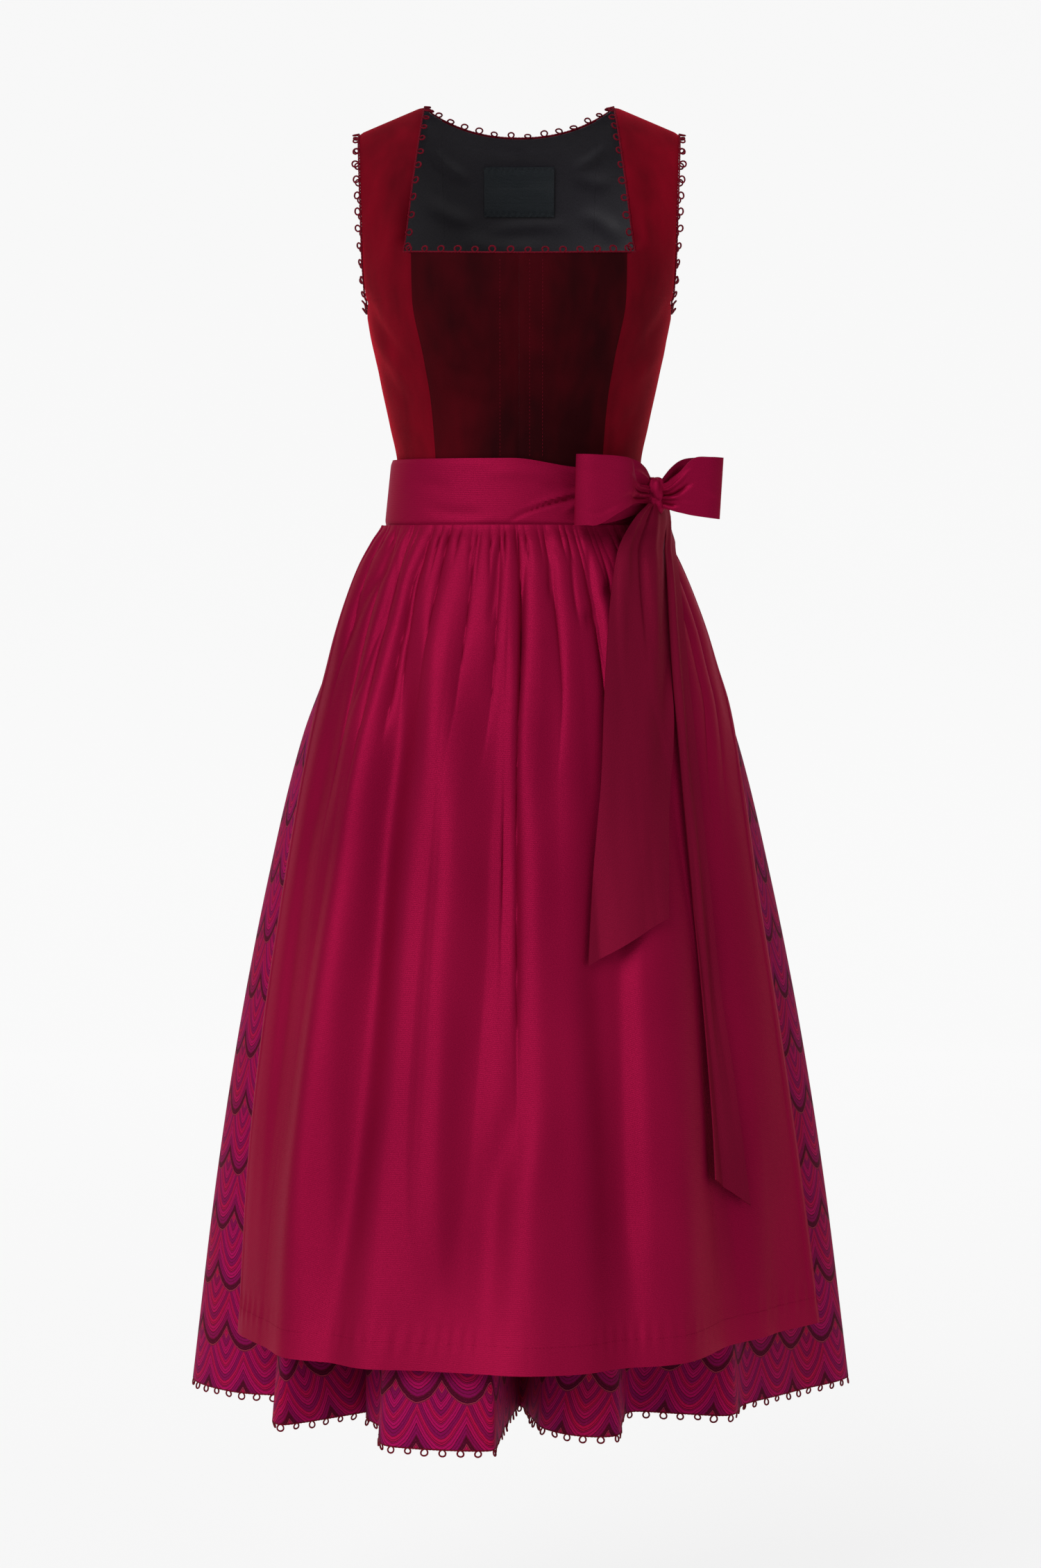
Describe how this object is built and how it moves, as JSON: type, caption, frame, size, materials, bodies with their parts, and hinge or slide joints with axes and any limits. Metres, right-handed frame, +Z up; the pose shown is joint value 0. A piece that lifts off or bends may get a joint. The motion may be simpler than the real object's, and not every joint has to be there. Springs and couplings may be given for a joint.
{
  "type": "sleeveless dirndl dress with apron",
  "caption": "Sleeveless folk dress with a fitted velvet bodice, square neckline, gathered printed skirt, picot edges and a satin apron tied with a bow at the waist.",
  "frame": {"origin": "midway between the tops of the two shoulder straps", "axes": "x towards the wearer's left, y towards the back, z up"},
  "size_m": [0.6349, 0.6066, 1.2207],
  "materials": {
    "velvet": "deep red cotton velvet with a short nap that darkens where it faces the viewer",
    "lining": "black satin lining",
    "label": "blank woven label, black",
    "printed_cotton": null,
    "apron_satin": "wine red satin with a fine cross rib",
    "picot_thread": "twisted dark wine thread, crocheted in loops"
  },
  "bodies": {
    "root": {"apron": "apron_satin", "apron_tie": "apron_satin", "apron_waistband": "apron_satin", "bodice_centre_back": "velvet", "bodice_centre_front_left": "velvet", "bodice_centre_front_right": "velvet", "bodice_side_back_left": "velvet", "bodice_side_back_right": "velvet", "bodice_side_front_left": "velvet", "bodice_side_front_right": "velvet", "bow_knot": "apron_satin", "bow_loop_left": "apron_satin", "bow_loop_right": "apron_satin", "bow_tail_long": "apron_satin", "bow_tail_short": "apron_satin", "label": "label", "lining_centre_back": "lining", "lining_side_back_left": "lining", "lining_side_back_right": "lining", "picot_armhole_left": "picot_thread", "picot_armhole_right": "picot_thread", "picot_hem": "picot_thread", "picot_neckline": "picot_thread", "skirt_back": "printed_cotton", "skirt_front": "printed_cotton"}
  },
  "joints": []
}
